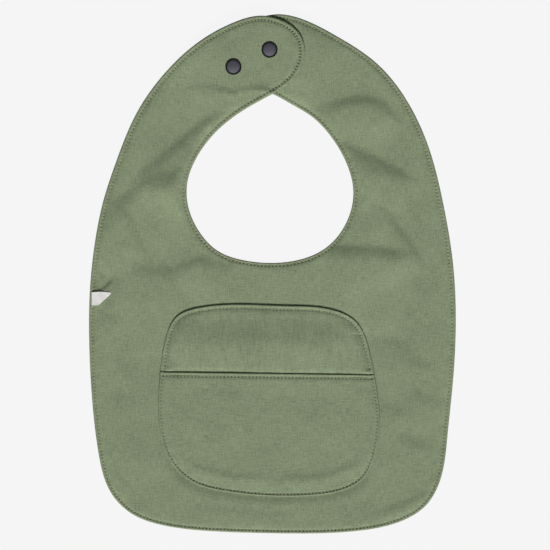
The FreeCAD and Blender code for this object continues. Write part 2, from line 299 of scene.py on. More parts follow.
def cut_out(loop, inset, stretches, extra=(), closed=False):
    """The plan of a piece of cloth with those sewn stretches: (start, end, direction of the cut at
    the start, direction at the end, points of the cut that follows the end)."""
    plan = Plan()
    rim = []
    for start, end, first_cut, last_cut, following in stretches:
        s = seam_rows(loop, start, end)
        if closed:
            s = s[:-1]
        lean = np.zeros(len(s))
        if first_cut is not None:
            lean += slant(loop, start, first_cut) * smooth(1 - (s - start) / LEAN_OVER)
        if last_cut is not None:
            lean += slant(loop, end, last_cut) * smooth(1 - (end - s) / LEAN_OVER)
        rows = []
        for share in RING_SHARES:
            d = share * inset(s)
            xy = loop.at(s) + loop.inward(s) * d[:, None] + loop.heading(s) * (d * lean)[:, None]
            rows.append(plan.add(xy, d, s + d * lean, share))
        count = len(s)
        for outer, inner in zip(rows, rows[1:]):
            for i in range(count if closed else count - 1):
                j = (i + 1) % count
                plan.faces.append((outer[i], outer[j], inner[j], inner[i]))
        rim += rows[-1]
        if len(following):
            rim += plan.add(following)
    fill_inside(plan, loop, inset, stretches, rim, extra)
    return plan.close()


def tree_of(points):
    """A tree that finds the nearest of those points of the plan."""
    tree = KDTree(len(points))
    for i, (x, y) in enumerate(points):
        tree.insert((x, y, 0), i)
    tree.balance()
    return tree


def fill_inside(plan, loop, inset, stretches, rim, extra):
    """Triangles inside the rim, on an even grid, and each loose point's distance from the edge."""
    tree_s = np.concatenate([np.arange(a - TREE_OVER, b + TREE_OVER, 0.5) for a, b, *_ in stretches])
    tree_p, tree_n = loop.at(tree_s), loop.inward(tree_s)
    tree = tree_of(tree_p)

    def measure(p):
        _, i, d = tree.find((p[0], p[1], 0))
        inside = np.dot(np.array(p) - tree_p[i], tree_n[i]) > 0
        return (d if inside else -d), tree_s[i]

    rim_xy = [tuple(plan.rows[i][:2]) for i in rim]
    low, high = np.min(rim_xy, 0), np.max(rim_xy, 0)
    loose = [tuple(p) for p in extra]
    clear = tree_of(rim_xy + loose)
    for row, y in enumerate(np.arange(low[1], high[1], GRID * math.sqrt(3) / 2)):
        for x in np.arange(low[0] + (row % 2) * GRID / 2, high[0], GRID):
            if clear.find((x, y, 0))[2] > GRID * 0.55 and measure((x, y))[0] > 0:
                loose.append((x, y))
    points = [Vector(p) for p in rim_xy + loose]
    edges = [(i, (i + 1) % len(rim)) for i in range(len(rim))]
    made = delaunay_2d_cdt(points, edges, [list(range(len(rim)))], 1, 1e-6)
    coords, triangles, origins = made[0], made[2], made[3]
    name = {}
    for i, source in enumerate(origins):
        if source and min(source) < len(rim):
            name[i] = rim[min(source)]
    for triangle in triangles:
        for i in triangle:
            if i not in name:
                name[i] = plan.add([coords[i]])[0]
        plan.faces.append(tuple(name[i] for i in triangle))
    blank = [row for row in plan.rows if not any(row[2:])]
    for row in blank:
        row[2:4] = measure(row[:2])
    for row, wide in zip(blank, inset(np.array([row[3] for row in blank]))):
        row[4] = row[2] / wide


def cut_points(cut):
    """The points of a cut between the two rims' innermost rows."""
    ends = []
    for s, direction in ((cut.inner_s, cut.line), (cut.outer_s, -cut.line)):
        d = RING_SHARES[-1] * stitch_inset(s)
        lean = slant(OUTLINE, s, direction)
        ends.append(OUTLINE.at(s) + OUTLINE.inward(s) * d + OUTLINE.heading(s) * d * lean)
    count = int(np.linalg.norm(ends[1] - ends[0]) / CUT_STEP)
    share = np.linspace(0, 1, count + 1)[1:-1, None]
    return ends[0] + (ends[1] - ends[0]) * share


# ---------------------------------------------------------------- heights
def nearest_on(line, xy):
    """For each point, the number of the line's nearest point, and the way there to the point."""
    parts = np.array_split(xy, len(xy) // 2000 + 1)
    closest = [np.argmin(((part[:, None] - line) ** 2).sum(2), axis=1) for part in parts]
    closest = np.concatenate(closest)
    return closest, xy - line[closest]


def crease(xy, path, width, rise):
    """A fold in the cloth: it falls to a crisp foot on the path's left, and gently on its right."""
    path = np.array(path, float)
    run = np.concatenate([[0], np.cumsum(np.linalg.norm(np.diff(path, axis=0), axis=1))])
    u = np.linspace(0, run[-1], 60)
    middle = np.array([np.interp(u, run, path[:, k]) for k in (0, 1)]).T
    for _ in range(12):
        middle[1:-1] = (middle[:-2] + middle[1:-1] + middle[2:]) / 3
    ahead = np.gradient(middle, axis=0)
    ahead /= np.linalg.norm(ahead, axis=1)[:, None]
    low, high = middle.min(0) - 5 * width, middle.max(0) + 5 * width
    near = np.all((xy > low) & (xy < high), axis=1)
    found = np.zeros(len(xy))
    if not near.any():
        return found
    closest, rel = nearest_on(middle, xy[near])
    ahead = ahead[closest]
    across = ahead[:, 0] * rel[:, 1] - ahead[:, 1] * rel[:, 0]
    along = u[closest] + (rel * ahead).sum(1)
    fade = min(14.0, 0.4 * run[-1])
    ends = between(along, -fade / 3, fade) * between(run[-1] - along, -fade / 3, fade)
    v = across / width + 0.85
    drop = 1 - v ** 2
    steep = (drop + np.sqrt(drop ** 2 + 0.06)) / 2.03
    found[near] = rise * ends * np.where(v > 0, steep, bell(v, 3.0))
    return found


# Where the cloth is creased: each path, the width of its steep side and its height.
CREASES = [
    ([(-74, 88), (-60, 99), (-50, 107), (-37, 116)], 8.0, 2.5),
    ([(-101, 61), (-91, 73), (-78, 84), (-62, 94)], 11.0, 2.4),
    ([(-114, 48), (-98, 60), (-84, 68), (-68, 74)], 10.0, 2.0),
    ([(-82, 57), (-69, 72), (-60, 85), (-51, 96)], 9.0, 2.0),
    ([(-109, 51), (-100, 39), (-94, 24), (-89, 9)], 8.0, 2.3),
    ([(-110, 13), (-86, 3), (-60, 3)], 12.0, 1.7),
    ([(-70, 4), (-57, 9.5), (-45, 14)], 7.0, 1.6),
    ([(-53, 11), (-38, 8), (-22, 3)], 7.0, 1.0),
    ([(38, 18), (52, 18.5), (66, 18), (80, 17), (99, 13)], 11.0, 3.0),
    ([(78, 49), (90, 33), (99, 20), (108, 5)], 6.5, 1.9),
    ([(33, 117), (51, 123.5), (65, 125.5), (76, 123), (84, 116), (93, 106)], 7.5, 1.8),
    ([(42, 97), (58, 88), (78, 79), (104, 65)], 10.0, 2.5),
    ([(54, 84), (68, 75), (86, 70)], 8.0, 0.9),
    ([(9, 133), (17, 129), (32, 123)], 2.4, 0.5),
    ([(-62, 131), (-48, 134.5), (-36, 132), (-26, 127.5), (-18, 122)], 4.5, 1.0),
    ([(-112, -138), (-97, -160)], 5.0, 0.8),
    ([(72, -170), (92, -163), (112, -153)], 4.0, 0.9),
    ([(-124, -28), (-100, -34)], 8.0, 0.8),
    ([(-120, -84), (-94, -90)], 8.0, 0.8),
    ([(76, -44), (100, -53)], 9.0, 0.9),
    ([(92, -56), (118, -68)], 9.0, 0.9),
    ([(78, -90), (98, -101)], 9.0, 1.0),
    ([(98, -82), (124, -94)], 9.0, 0.9),
    ([(86, -112), (116, -123)], 10.0, 1.3),
    ([(-50, -164), (4, -170), (50, -163)], 3.5, 0.35),
    ([(-112, -3), (-117.5, -8.3), (-124.5, -13.5)], 4.0, -1.7),
]


def ripple(xy, seed, size, rise):
    """A gentle unevenness, the same each time."""
    found = [noise.noise(Vector((x / size, y / size, seed))) for x, y in xy]
    return rise * np.array(found)


def from_studs(xy):
    """Each point's distance from the line between the two press studs."""
    start, end = np.array(SNAPS["inner"]), np.array(SNAPS["tip"])
    run = end - start
    share = np.clip((xy - start) @ run / (run @ run), 0, 1)
    return np.linalg.norm(xy - (start + share[:, None] * run), axis=1)


def slack(xy):
    """How far the cloth stands above the table, or sinks into its own thickness, away from its seams."""
    h = 0.15 + ripple(xy, 3.1, 36.0, 0.55) + ripple(xy, 8.7, 14.0, 0.2)
    for path, width, rise in CREASES:
        h = h + crease(xy, path, width, rise)
    return np.maximum(h, -0.75) * between(from_studs(xy), 6.0, 15.0)


def to_edge(loop, xy, low, high):
    """Each point's distance inside a stretch of a loop, and below 0 outside it."""
    s = np.arange(low, high, 1.0)
    closest, rel = nearest_on(loop.at(s), xy)
    side = np.sign((rel * loop.inward(s)[closest]).sum(1))
    return side * np.linalg.norm(rel, axis=1)


LOWER_EDGE = (OUTLINE.nearest((20.0, 181.3)), OUTLINE.nearest((12.8, 120.9)))
UPPER_EDGE = (OUTLINE.nearest((-25.0, 113.2)), OUTLINE.nearest((-52.0, 164.9)))
OVERLAP = (-70.0, 112.0)      # the lowest x and y where one strap can lie on the other


def covered(xy):
    """1 where the upper tab presses on what is under it, and 0 away from it."""
    found = np.zeros(len(xy))
    near = (xy[:, 0] > OVERLAP[0]) & (xy[:, 0] < -OVERLAP[0]) & (xy[:, 1] > OVERLAP[1])
    if near.any():
        found[near] = between(to_edge(OUTLINE, xy[near], *UPPER_EDGE), -5.0, 1.0)
    return found


ARCH = 2.1                    # how much higher the lower strap stands round its studs than at them


def lift(xy, layer):
    """The height of the cloth's underside, from what it lies on."""
    away = from_studs(xy)
    if layer == "main":
        return (LOWER_LIFT + ARCH * between(away, 7.0, 14.0)) * (1 - between(away, 25.0, 54.0))
    past = TAB_FOLD.past(xy) - BEND_BEFORE
    height = UPPER_LIFT * between(past, -22.0, 42.0)
    near = past > -22.0
    if near.any():
        inside = to_edge(OUTLINE, xy[near], *LOWER_EDGE)
        outward = (xy[near] - TAB_FOLD.inner) @ TAB_FOLD.line
        neck_side = between(past[near], 16.0, 34.0) * (1 - between(outward, 18.0, 34.0))
        sag = 0.2 * between(away[near], 6.5, 20.0) * between(past[near], 12.0, 40.0)
        height[near] += 0.9 * neck_side * bell(inside - 0.5, 2.3) - sag
    return height


def pucker(s, d):
    """Small waves along a seam, where the thread draws the cloth in."""
    return 0.3 * unevenness(s, 6.0, 1.7) * bell(d - 3.4, 3.2)


USUAL_INSET = 2.4


def needle_holes(s, pitch, across):
    """1 at each needle hole of a row, from the place along it and across it, and 0 away from them."""
    off = (s / pitch + 0.5) % 1 - 0.5
    return bell(off * pitch, HOLE) * bell(across, HOLE)


def holes(s, share, loop):
    return needle_holes(s, pitch_of(loop), (share - 1) * USUAL_INSET)


def sunk_holes(plan, loop):
    """How deep the cloth sinks at the needle holes: least where they hardly show."""
    return (0.17 + 0.25 * hole_shade(loop, plan.s)) * holes(plan.s, plan.share, loop)


# The seam's section, as heights from its middle, at the ring shares and one share further in.
ROLL_SHARES = RING_SHARES + [4.0]
ROLL_FRONT = [0.02, 0.30, 0.54, 0.74, 0.88, 0.90, 0.80, 0.63, 0.52, 0.60, 0.73, 0.86, 0.94, 1.0, 1.0, 0.90]
ROLL_BACK = [0.02, 0.22, 0.45, 0.66, 0.82, 0.86, 0.80, 0.70, 0.64, 0.70, 0.80, 0.86, 0.9, 0.9, 0.9, 0.9]


def rolled_edge(share, heights):
    return np.interp(share, ROLL_SHARES, heights)


def rest_height(xy, d, layer):
    """How far the cloth stands up over what it lies on: half of its slack at the edge, and all inside."""
    inner = between(d, -2.0, 9.0)
    h = slack(xy)
    h = h * inner + 0.5 * np.maximum(h - 0.4, 0) * (1 - inner)
    if layer == "main":
        h = h * (1 - covered(xy))
    return h


def sink_round_pocket(xy):
    """The front panel is drawn down along the pocket's seam, and most at the pocket's bottom."""
    away = np.maximum(-to_edge(POCKET, xy, 0.0, POCKET.length), 0)
    low = 1 - between(xy[:, 1], -150.0, -90.0)
    return 0.35 * low * bell(away - 6.5, 3.2) - (0.15 + 0.4 * low) * bell(away, 2.2)


def cloth_side(xy, s, d, roll, layer, top):
    """The height of the upper or the lower side of the body or the strap, without needle holes."""
    stand = rest_height(xy, d, layer)
    if top:
        return lift(xy, layer) + stand + SEAM_Z + roll + pucker(s, d)
    return lift(xy, layer) + np.maximum(stand - 0.1, 0) + SEAM_Z - roll


def body_top(plan, layer):
    roll = rolled_edge(plan.share, ROLL_FRONT)
    h = cloth_side(plan.xy, plan.s, plan.d, roll, layer, True)
    if layer == "main":
        h = h + sink_round_pocket(plan.xy)
    return h - sunk_holes(plan, OUTLINE)


def body_bottom(plan, layer):
    roll = rolled_edge(plan.share, ROLL_BACK)
    h = cloth_side(plan.xy, plan.s, plan.d, roll, layer, False)
    return h + 0.2 * holes(plan.s, plan.share, OUTLINE)


def row_height(layer, top):
    """The cloth's height under a row of stitches on the outline."""
    roll = rolled_edge(1.0, ROLL_FRONT if top else ROLL_BACK)
    return lambda xy, s, d: cloth_side(xy, s, d, roll, layer, top)


def panel_height(xy):
    """The front panel's upper side under the pocket."""
    return SEAM_Z + ROLL_FRONT[-1] + slack(xy)


# ---------------------------------------------------------------- meshes
def mesh_object(name, vertices, faces, attributes=()):
    mesh = bpy.data.meshes.new(name)
    mesh.from_pydata([tuple(v * MM for v in p) for p in vertices], [], [tuple(f) for f in faces])
    for key, values in attributes:
        values = np.array(values, np.float32)
        kind = "FLOAT_VECTOR" if values.ndim == 2 else "FLOAT"
        made = mesh.attributes.new(key, kind, "POINT")
        made.data.foreach_set("vector" if values.ndim == 2 else "value", values.ravel())
    mesh.polygons.foreach_set("use_smooth", [True] * len(mesh.polygons))
    mesh.validate()
    mesh.update()
    made = bpy.data.objects.new(name, mesh)
    bpy.context.scene.collection.objects.link(made)
    return made


def corner_normals(points, faces):
    """Each point's normal, from the faces round it."""
    normals = np.zeros_like(points)
    for count in (3, 4):
        some = np.array([f for f in faces if len(f) == count])
        if len(some):
            across = np.cross(points[some[:, 2]] - points[some[:, 0]],
                              points[some[:, -1]] - points[some[:, 1]])
            for k in range(count):
                np.add.at(normals, some[:, k], across)
    return normals / np.linalg.norm(normals, axis=1)[:, None]


def shell(name, points, faces, thickness, attributes):
    """A sheet with its thickness on the side away from its faces' normals, and a crisp rim."""
    points = np.asarray(points, float)
    count = len(points)
    under = points - corner_normals(points, faces) * thickness
    sides = {(f[k - 1], f[k]) for f in faces for k in range(len(f))}
    rim = [(a, b) for a, b in sides if (b, a) not in sides]
    whole = list(faces) + [tuple(i + count for i in reversed(f)) for f in faces]
    whole += [(b, a, a + count, b + count) for a, b in rim]
    doubled = [(key, np.concatenate([values, values])) for key, values in attributes]
    piece = mesh_object(name, np.concatenate([points, under]), whole, doubled)
    mesh = piece.data
    ends = np.empty(len(mesh.edges) * 2, int)
    mesh.edges.foreach_get("vertices", ends)
    ends = np.sort(ends.reshape(-1, 2), axis=1)
    crisp = {tuple(sorted(e)) for e in rim} | {tuple(sorted((a + count, b + count))) for a, b in rim}
    sharp = mesh.attributes.new("sharp_edge", "BOOLEAN", "EDGE")
    sharp.data.foreach_set("value", [tuple(e) in crisp for e in ends.tolist()])
    return piece


def cloth_object(name, plan, z, painted_shade, flip=False, thickness=CLOTH, seed=0.0):
    """A sheet of cloth over a plan. The attribute 'cut' is where each point was in the flat cloth."""
    faces = [tuple(reversed(f)) for f in plan.faces] if flip else plan.faces
    flat = np.column_stack([plan.xy, np.full(len(z), seed)])
    # The second attribute is painted shade at seams and needle holes.
    attributes = [("cut", flat), ("painted_shade", np.asarray(painted_shade))]
    return shell(name, np.column_stack([plan.xy, z]), faces, thickness, attributes)


def seam_painted_shade(plan, loop):
    """Painted shade: darker at the needle holes, between them and at the turned edge."""
    plain = hole_shade(loop, plan.s)
    dots = holes(plan.s, plan.share, loop)
    groove = bell(plan.share - 0.95, 0.3)
    edge = 1 - between(plan.share, 0.03, 0.3)
    return np.clip(0.95 * plain * dots + 0.10 * plain * groove + 0.22 * edge, 0, 1)


def tube(rows, sides, first=0):
    """The faces round rows of points with that many in each, and the two ends."""
    faces = []
    for row in range(first, first + (rows - 1) * sides, sides):
        for a in range(sides):
            b = (a + 1) % sides
            faces.append((row + a, row + sides + a, row + sides + b, row + b))
    faces.append([first + a for a in range(sides)])
    faces.append([first + (rows - 1) * sides + a for a in reversed(range(sides))])
    return faces


# One stitch: where its rings of points are, as shares of its length, and how wide they are.
STITCH_ALONG = np.array([0.17, 0.26, 0.4, 0.6, 0.74, 0.83])
STITCH_WIDE = np.array([0.6, 0.95, 1.0, 1.0, 0.95, 0.6])
THREAD_SIDES = 6
THREAD_FLAT = 1.15            # a thread is this much wider than it is high
TURNED_SIDES = 64


def stitches(name, loop, inset, height, spans, rise=0.2, dip=0.3, up=1):
    """One piece with every stitch of the seam in those spans: a short thread between two holes."""
    pitch = pitch_of(loop)
    first = np.concatenate([np.arange(math.ceil(a / pitch), math.floor(b / pitch)) for a, b in spans])
    s = ((first[:, None] + STITCH_ALONG) * pitch).ravel()
    d = inset(s)
    side = loop.inward(s)
    xy = loop.at(s) + side * d[:, None]
    bow = np.tile([-dip, -0.02, rise, rise, -0.02, -dip], len(first))
    z = height(xy, s, d) + up * bow
    turn = np.arange(THREAD_SIDES) * 2 * math.pi / THREAD_SIDES
    r = THREAD_R * np.tile(STITCH_WIDE, len(first))
    out = (r[:, None] * np.cos(turn))[..., None] * side[:, None] * THREAD_FLAT
    points = np.empty((len(s), THREAD_SIDES, 3))
    points[..., :2] = xy[:, None] + out
    points[..., 2] = z[:, None] + r[:, None] * np.sin(turn)
    flat = np.empty_like(points)
    flat[..., 0], flat[..., 1], flat[..., 2] = s[:, None], turn, d[:, None]
    rows = len(STITCH_ALONG)
    faces = []
    for k in range(len(first)):
        faces += tube(rows, THREAD_SIDES, k * rows * THREAD_SIDES)
    return mesh_object(name, points.reshape(-1, 3), faces, [("cut", flat.reshape(-1, 3))])


def lathe(name, profile, centre, painted_shade, up):
    """A turned piece from (radius, height) points, from its rim to its middle."""
    vertices = []
    turns = [2 * math.pi * a / TURNED_SIDES for a in range(TURNED_SIDES)]
    for r, z in profile:
        vertices += [(centre[0] + r * math.cos(t), centre[1] + r * math.sin(t), z) for t in turns]
    faces = tube(len(profile), TURNED_SIDES)
    if up > 0:
        faces = [tuple(reversed(f)) for f in faces]
    # Its attribute is the painted shade of each ring of points.
    return mesh_object(name, vertices, faces, [("painted_shade", np.repeat(painted_shade, TURNED_SIDES))])


# ---------------------------------------------------------------- materials
class Nodes:
    """A material's node tree, with short ways to add to it."""

    def __init__(self, name):
        self.material = bpy.data.materials.new(name)
        self.material.use_nodes = True
        self.tree = self.material.node_tree
        self.shader = self.tree.nodes["Principled BSDF"]

    def feed(self, node, inputs):
        """Gives a node's inputs their values, or links them to other nodes' outputs."""
        for key, value in inputs.items():
            if isinstance(value, bpy.types.NodeSocket):
                self.tree.links.new(value, node.inputs[key])
            else:
                node.inputs[key].default_value = value

    def new(self, kind, inputs, **settings):
        node = self.tree.nodes.new(kind)
        for key, value in settings.items():
            setattr(node, key, value)
        self.feed(node, inputs)
        return node.outputs

    def math(self, operation, *values):
        return self.new("ShaderNodeMath", dict(enumerate(values)), operation=operation)[0]

    def times(self, *values):
        return self.math("MULTIPLY", *values)

    def total(self, first, *others):
        for value in others:
            first = self.math("ADD", first, value)
        return first

    def centred(self, value, strength):
        """strength at value 1, minus strength at value 0, round 0."""
        return self.times(self.math("SUBTRACT", value, 0.5), 2 * strength)

    def place(self, scale, on_object=False):
        """The point of the flat cloth, in millimetres, or of the object, stretched by scale."""
        if on_object:
            point = self.new("ShaderNodeTexCoord", {})["Object"]
        else:
            point = self.new("ShaderNodeAttribute", {}, attribute_name="cut")["Vector"]
        return self.new("ShaderNodeMapping", {"Vector": point, "Scale": scale})["Vector"]

    def axes(self, scale=(1, 1, 1)):
        """The flat cloth's x and y."""
        split = self.new("ShaderNodeSeparateXYZ", {0: self.place(scale)})
        return split[0], split[1]

    def noise(self, scale, detail=2.0, roughness=0.5, on_object=False):
        inputs = {"Vector": self.place(scale, on_object), "Scale": 1.0, "Detail": detail}
        return self.new("ShaderNodeTexNoise", {**inputs, "Roughness": roughness})["Fac"]

    # The painted shade attribute, from 0 to 1.
    def painted_shade(self):
        return self.new("ShaderNodeAttribute", {}, attribute_name="painted_shade")["Fac"]

    def mix(self, factor, one, other):
        inputs = {"Factor": factor, "A": one, "B": other}
        return self.new("ShaderNodeMix", inputs, data_type="RGBA")["Result"]

    def paint(self, colour, bright):
        return self.new("ShaderNodeVectorMath", {0: colour, "Scale": bright}, operation="SCALE")[0]

    def finish(self, slot, colour, height, strength, depth, looks):
        """Colours the surface, raises it by depth in millimetres, and sets its other looks."""
        bump = {"Height": height, "Strength": strength, "Distance": depth * MM}
        bumpy = self.new("ShaderNodeBump", bump)[0]
        self.feed(self.shader, {"Base Color": colour, "Normal": bumpy, **looks})
        return slot, self.material


WEAVE = 0.52                  # from one yarn of the cotton to the next
PADDING_WEAVE = 1.4
# The colour that painted shade darkens cotton towards, at seams, needle holes and edges.
SHADE_COLOUR = (0.038, 0.040, 0.016, 1)
RIB, RIB_ROW = 0.45, 0.3      # the ribbon's ribs


def cotton(slot, name, colour, tint, weave=WEAVE):
    """Plain-woven cotton: over-and-under yarns, slubs both ways, and uneven dye."""
    n = Nodes(name)
    wander_x = n.centred(n.noise((0.11, 0.035, 0.3)), 0.9)
    wander_y = n.centred(n.noise((0.035, 0.11, 0.7)), 0.9)
    x, y = n.axes((1 / weave, 1 / weave, 1))
    warp = n.math("COSINE", n.times(n.total(x, wander_x), math.pi))
    weft = n.math("COSINE", n.times(n.total(y, wander_y), math.pi))
    pillow = n.math("POWER", n.math("ABSOLUTE", n.times(warp, weft)), 0.6)
    along_y = n.noise((1.3, 0.16, 0.5), 3, 0.6)
    along_x = n.noise((0.16, 1.3, 0.9), 3, 0.6)
    fuzz = n.noise((0.95, 0.95, 1.0), 3, 0.65)
    mottle = n.noise((0.045, 0.045, 0.2), 3)
    bright = n.total(
        n.centred(along_y, 0.36), n.centred(along_x, 0.36), n.centred(mottle, 0.16),
        n.centred(fuzz, 0.5), n.times(n.math("SUBTRACT", pillow, 0.62), 0.28), 1.0,
    )
    hue = n.mix(mottle, (*colour, 1), (*tint, 1))
    height = n.total(n.times(pillow, 0.5), n.times(along_y, 0.35), n.times(along_x, 0.4))
    # Painted shade: the attribute darkens the cloth towards the shade colour at seams and needle holes.
    return n.finish(slot, n.mix(n.painted_shade(), n.paint(hue, bright), SHADE_COLOUR), height, 0.35, 0.22, {
        "Roughness": 0.92, "Specular IOR Level": 0.18, "Sheen Weight": 0.12, "Sheen Roughness": 0.6,
    })


def sewing(slot, name, colour):
    """Twisted thread: fine slanting plies."""
    n = Nodes(name)
    x, y = n.axes()
    ply = n.math("SINE", n.total(n.times(x, 16.0), n.times(y, 2.0)))
    bright = n.total(1.0, n.times(ply, 0.12), n.centred(n.noise((3.0, 0.8, 1.0)), 0.15))
    looks = {"Roughness": 0.7, "Sheen Weight": 0.2}
    return n.finish(slot, n.paint(colour, bright), ply, 0.5, 0.05, looks)


def gunmetal(slot, name, colour):
    """Dark plated brass, satin, with fine scuffs."""
    n = Nodes(name)
    scuff = n.noise((900, 2600, 900), 4.0, on_object=True)
    cloud = n.noise((260, 260, 260), on_object=True)
    painted_shade = n.painted_shade()
    rough = n.total(0.5, n.times(scuff, 0.16), n.times(painted_shade, 0.3))
    # Painted shade and painted dark reflection: the attribute blackens the groove and rim.
    kept = n.math("SUBTRACT", 1.0, n.times(painted_shade, 0.93))
    bright = n.times(n.total(0.85, n.times(cloud, 0.3)), kept)
    looks = {"Roughness": rough, "Metallic": 0.8, "Specular IOR Level": 0.25}
    return n.finish(slot, n.paint(colour, bright), scuff, 0.12, 0.02, looks)


def ribbon(slot, name, colour):
    """White woven ribbon with fine cross ribs."""
    n = Nodes(name)
    x, y = n.axes()
    rib = n.math("SINE", n.times(x, 2 * math.pi / RIB))
    rows = n.math("SINE", n.times(y, 2 * math.pi / RIB_ROW))
    bright = n.total(0.97, n.times(rib, 0.02), n.centred(n.noise((0.25, 0.6, 1.0), 3), 0.06))
    height = n.total(rib, n.times(rows, 0.4))
    looks = {"Roughness": 0.55, "Sheen Weight": 0.15}
    return n.finish(slot, n.paint(colour, bright), height, 0.3, 0.06, looks)


OUTER = cotton("outer_cloth", "sage_cotton", (0.222, 0.261, 0.157), (0.204, 0.251, 0.151))
# The lining is darker and browner than the outer cloth: partly its own colour, and partly painted shade
# for the turned edge where it shows.
LINING = cotton("lining_cloth", "lining_cotton", (0.204, 0.222, 0.146), (0.190, 0.212, 0.137))
PADDING = cotton(
    "interlining", "interlining_cotton", (0.72, 0.70, 0.64), (0.68, 0.66, 0.60), PADDING_WEAVE,
)
THREAD = sewing("thread", "sewing_thread", (0.285, 0.318, 0.192))
METAL = gunmetal("stud_metal", "gunmetal_plate", (0.127, 0.123, 0.146))
RIBBON = ribbon("label_ribbon", "label_ribbon", (0.755, 0.745, 0.72))


def finish_piece(piece, looks, *nodes):
    """Gives a piece its material, and hides the CAD nodes that it stands for."""
    slot, material = looks
    piece.data.materials.clear()
    piece.data.materials.append(material)
    if nodes:
        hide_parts(*nodes)
    return piece


# ---------------------------------------------------------------- the body, the strap and the tab
def at_plan(point, z=0.0):
    return (point[0] * MM, point[1] * MM, z * MM)


def attach(piece, body):
    """Lets a piece of the bib's body ride on that body; any other piece keeps its place, its transform
    fixed in its mesh.
    """
    if body == "bib_body":
        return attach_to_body(piece, body)
    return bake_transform(piece)


def declare(piece):
    """Returns the piece unchanged."""
    return piece


def beside_pocket():
    """Rows of points round the pocket, for the front panel's dip along its seam."""
    s = np.arange(0, POCKET.length, 1.3)
    for d in (-0.8, -1.6, -2.4, -3.3, -4.4, -5.8, -7.4):
        yield from POCKET.at(s) + POCKET.inward(s) * d


BODY_START = SHOULDER.outer_s % OUTLINE.length
SHOULDER_CUT, TAB_CUT = cut_points(SHOULDER), cut_points(TAB_FOLD)
# More points where the cloth is pinched above the label.
PINCH = [(x, y) for x in np.arange(-122.5, -109.5, 0.9) for y in np.arange(-17.0, 1.0, 0.9)]
STRETCHES = {
    "bib_body": [
        (BODY_START, SHOULDER.inner_s, -SHOULDER.line, SHOULDER.line, SHOULDER_CUT),
    ],
    "strap": [
        (SHOULDER.inner_s, TAB_FOLD.inner_s, SHOULDER.line, TAB_FOLD.line, TAB_CUT),
        (TAB_FOLD.outer_s, BODY_START + OUTLINE.length, -TAB_FOLD.line, -SHOULDER.line,
         SHOULDER_CUT[::-1]),
    ],
    "tab": [
        (TAB_FOLD.inner_s, TAB_FOLD.outer_s, TAB_FOLD.line, -TAB_FOLD.line, TAB_CUT[::-1]),
    ],
}


def padding_plan(plan):
    """The part of a plan inside its seam allowance, for the interlining."""
    deep = plan.share > RING_SHARES[-2]
    faces = [f for f in plan.faces if all(deep[i] for i in f)]
    used = sorted(set(i for f in faces for i in f))
    place = {i: k for k, i in enumerate(used)}
    made = Plan()
    made.add(plan.xy[used], plan.d[used], plan.s[used], plan.share[used])
    made.faces = [tuple(place[i] for i in f) for f in faces]
    return made.close()


def sewn_region(body, stretches):
    """Front and back cloth of one body, the interlining between them, and their stitches."""
    layer, extra = "left", ()
    nodes = [body + end for end in ("_front_cloth", "_back_cloth", "_interlining", "_stitch")]
    if body == "bib_body":
        layer, extra = "main", PINCH + list(beside_pocket())
        nodes = ["front_panel", "back_panel", "interlining", "edge_stitch"]
    front_node, back_node, fill_node, stitch_node = nodes
    plan = cut_out(OUTLINE, stitch_inset, stretches, extra)
    # Painted shade along the seam, its needle holes and its turned edge.
    painted_shade = seam_painted_shade(plan, OUTLINE)
    front = cloth_object(front_node + "_cotton", plan, body_top(plan, layer), painted_shade)
    back = cloth_object(back_node + "_cotton", plan, body_bottom(plan, layer), painted_shade, flip=True, seed=5.0)
    inner = padding_plan(plan)
    middle = (body_top(inner, layer) + body_bottom(inner, layer)) / 2
    fill = cloth_object(fill_node + "_pad", inner, middle, np.zeros(len(middle)), thickness=0.4)
    spans = [(a, b) for a, b, *_ in stretches]
    above = stitches(stitch_node + "_front", OUTLINE, stitch_inset, row_height(layer, True), spans)
    below = stitches(stitch_node + "_back", OUTLINE, stitch_inset, row_height(layer, False), spans,
                     rise=0.1, dip=0.25, up=-1)
    finish_piece(front, OUTER, front_node)
    finish_piece(back, LINING, back_node)
    finish_piece(fill, PADDING, fill_node)
    finish_piece(above, THREAD, stitch_node)
    finish_piece(below, THREAD)
    for piece in (front, back, fill, above, below):
        attach(piece, body)
    declare(front)
    declare(fill)
    declare(back)


for body_name, body_stretches in STRETCHES.items():
    sewn_region(body_name, body_stretches)


# ---------------------------------------------------------------- the pocket
MOUTH = unit(MOUTH_RIGHT - MOUTH_LEFT)
MOUTH_DOWN = np.array([MOUTH[1], -MOUTH[0]])
HALF = 77.0                   # from the mouth's left end to where the two halves of the front meet
MOUTH_MIDDLE = MOUTH_LEFT + MOUTH * HALF
MOUTH_STITCH = 2.8            # the hem's stitches lie this far under the mouth
HEM_ROWS = [0.15, 0.4, 0.8, 1.3, 1.9, 2.35, MOUTH_STITCH, 3.25, 3.8, 4.6, 5.8, 7.4]
HEM_STEP = STITCH / ROWS_PER_STITCH
LEFT_S = POCKET.crossing(MOUTH_LEFT, MOUTH_DOWN, POCKET.nearest(MOUTH_LEFT))
RIGHT_S = POCKET.crossing(MOUTH_LEFT, MOUTH_DOWN, POCKET.nearest(MOUTH_RIGHT))
FOOT_S = POCKET.crossing(MOUTH_MIDDLE, MOUTH, POCKET.nearest(MOUTH_MIDDLE + MOUTH_DOWN * 85))
BAG_CREASES = [
    ([(-72, -124), (-54, -136), (-31, -142.5), (0, -144)], 6.5, 1.15),
    ([(0, -145), (36, -142.5), (68, -131)], 6.5, 1.15),
    ([(2, -86), (22, -90)], 5.0, 0.4),
    ([(28, -88), (46, -91)], 5.0, 0.4),
    ([(-38, -84), (-20, -86)], 5.0, 0.3),
]
PATCH_CREASES = [([(-68, -58), (-50, -45.5), (-30, -42.5), (0, -43), (20, -45), (42, -53)], 6.0, 0.35)]
